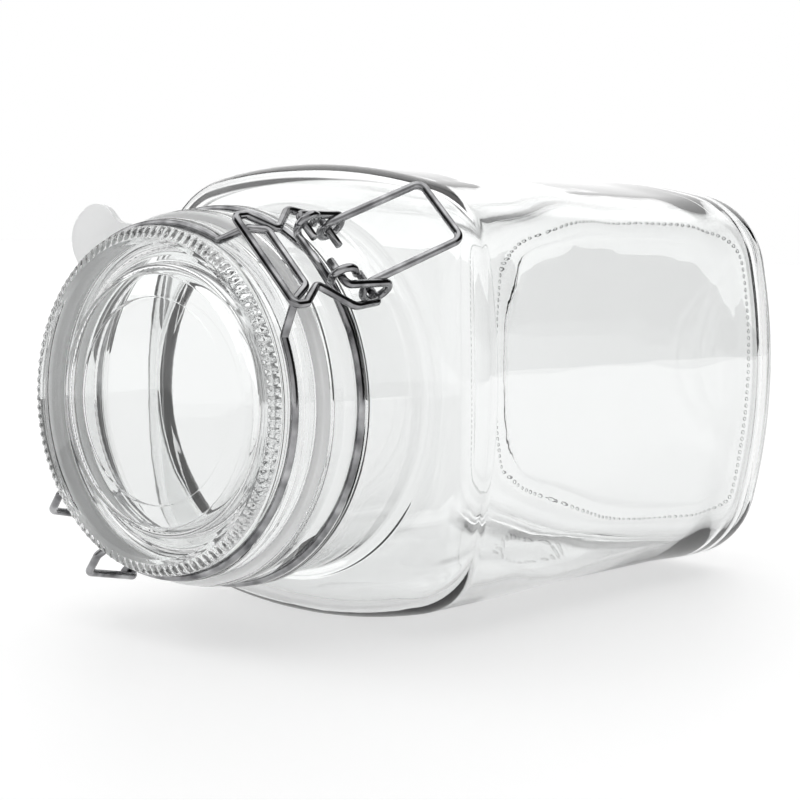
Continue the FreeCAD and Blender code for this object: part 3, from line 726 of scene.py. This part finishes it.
def rubber_finish(name):
    """Milky silicone with a dull skin, and a faint painted glow that lightens it."""
    material, tree, shader = blank_finish(name)
    place = add_node(tree, "ShaderNodeTexCoord").outputs["Object"]
    cloud = add_node(tree, "ShaderNodeTexNoise", Vector=place, Scale=90.0, Detail=3.0)
    skin = add_node(tree, "ShaderNodeTexNoise", Vector=place, Scale=1800.0, Detail=2.0)
    rough = add_node(tree, "ShaderNodeMapRange", Value=cloud.outputs[0], To_Min=0.4, To_Max=0.55)
    bump = add_node(tree, "ShaderNodeBump", Height=skin.outputs[0], Strength=0.2, Distance=0.0001)
    set_inputs(
        shader, Base_Color=ramp(tree, cloud.outputs[0], (0, RUBBER_GREY), (1, RUBBER_PALE)),
        Roughness=rough.outputs[0], Normal=bump.outputs[0], Transmission_Weight=0.35,
        Subsurface_Weight=0.6, Subsurface_Radius=(0.004, 0.004, 0.004),
        # painted light: a faint white glow lifts the seal, which is no lamp
        Emission_Color=WHITE, Emission_Strength=0.1)
    return material


def floor_finish():
    """Pale plain floor with a little light of its own."""
    material, tree, shader = blank_finish("Pale floor")
    set_inputs(shader, Base_Color=STAGE_TONE, Roughness=0.6)
    set_inputs(shader, Emission_Color=WHITE, Emission_Strength=STAGE_GLOW)
    return material


# ---- glass: the jar, its lid and the dots under its base ----
ripples = ripple_group()
jar_finish = glass_finish("Jar glass", ripples, 18.0, 160.0, 0.02, 0.0006)
# painted shade on the jar's heel edges
paint_heel_edge_shade(jar_finish)
lid_finish = glass_finish("Lid glass", ripples, 40.0, 260.0, 0.03, 0.0003)

jar = jar_shell(jar_finish)
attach(jar, "jar")
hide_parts("jar_body")

lid = lid_pressing(lid_finish)
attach(lid, "lid")
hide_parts("lid")

dots = stippled_ring(jar_finish)
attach(dots, "jar")

# ---- wires and seal: their built shapes, the wires with their plating ----
for number, (name, body) in enumerate(WIRE_BODY.items()):
    finish = steel_finish(name.replace("_", " ").capitalize() + " steel", number * SCRATCH_SHIFT)
    wire = drawn_wire(name, finish)
    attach(wire, body)
    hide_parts(name)
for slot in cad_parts["gasket"].material_slots:
    slot.material = rubber_finish("Seal rubber")

# ---- camera ----
back = Vector((
    math.sin(AZIMUTH) * math.cos(ELEVATION),
    -math.cos(AZIMUTH) * math.cos(ELEVATION),
    math.sin(ELEVATION),
))
right = Vector((math.cos(AZIMUTH), math.sin(AZIMUTH), 0))
up = back.cross(right)
turned_right = right * math.cos(ROLL) + up * math.sin(ROLL)
turned_up = up * math.cos(ROLL) - right * math.sin(ROLL)
lens = bpy.data.cameras.new("Camera")
lens.lens = FOCAL_LENGTH
lens.sensor_width = SENSOR_WIDTH
camera = add_object("Camera", lens)
turn = Matrix((turned_right, turned_up, back)).transposed().to_4x4()
camera.matrix_world = Matrix.Translation(EYE) @ turn
bpy.context.scene.camera = camera

# ---- floor ----
signs = ((-1, -1), (1, -1), (1, 1), (-1, 1))
corners = [(x * STAGE_REACH, y * STAGE_REACH, STAGE_LEVEL) for x, y in signs]
floor = add_object("floor", new_mesh("floor", corners, [], [(0, 1, 2, 3)]))
floor.data.materials.append(floor_finish())

# ---- light: a bright backdrop and soft boxes, with dark flags that draw the glass's edges ----
world = bpy.data.worlds.new("Studio")
bpy.context.scene.world = world
world.use_nodes = True
tree = world.node_tree
tree.nodes.clear()
looking = add_node(tree, "ShaderNodeTexCoord").outputs["Generated"]


def facing(direction, low, high):
    """0 to 1 as the view turns towards a direction, between two cosines."""
    dot = add_node(tree, "ShaderNodeVectorMath", {"operation": "DOT_PRODUCT"})
    tree.links.new(looking, dot.inputs[0])
    dot.inputs[1].default_value = Vector(direction).normalized()
    return ease(tree, dot.outputs["Value"], low, high)


left_flag = facing(-right, 0.28, 0.36)
right_flag = facing(right, 0.52, 0.62)
unflagged = calc(tree, "SUBTRACT", 1.0, calc(tree, "MAXIMUM", left_flag, right_flag))
behind = calc(tree, "MULTIPLY", facing(-back, 0.48, 0.62), unflagged)
glow = calc(tree, "MULTIPLY_ADD", behind, BACKDROP_LIGHT, DARK_LIGHT)
for box, strength in (
    (facing(back, 0.55, 0.80), FRONT_LIGHT),
    (facing((0, 0, 1), 0.70, 0.84), TOP_LIGHT),
    (facing((-0.85, -0.35, 0.45), 0.86, 0.92), LEFT_LIGHT),
):
    glow = calc(tree, "MAXIMUM", glow, calc(tree, "MULTIPLY", box, strength))
seen = add_node(tree, "ShaderNodeLightPath").outputs["Is Camera Ray"]
shown = add_node(tree, "ShaderNodeMix", {"data_type": "FLOAT"}, Factor=seen, A=glow, B=1.0)
sky = add_node(tree, "ShaderNodeBackground", Color=WHITE, Strength=shown.outputs[0])
add_node(tree, "ShaderNodeOutputWorld", Surface=sky.outputs[0])
bpy.context.scene.view_settings.view_transform = "Standard"
bpy.context.scene.cycles.max_bounces = LIGHT_BOUNCES
bpy.context.scene.cycles.transmission_bounces = LIGHT_BOUNCES
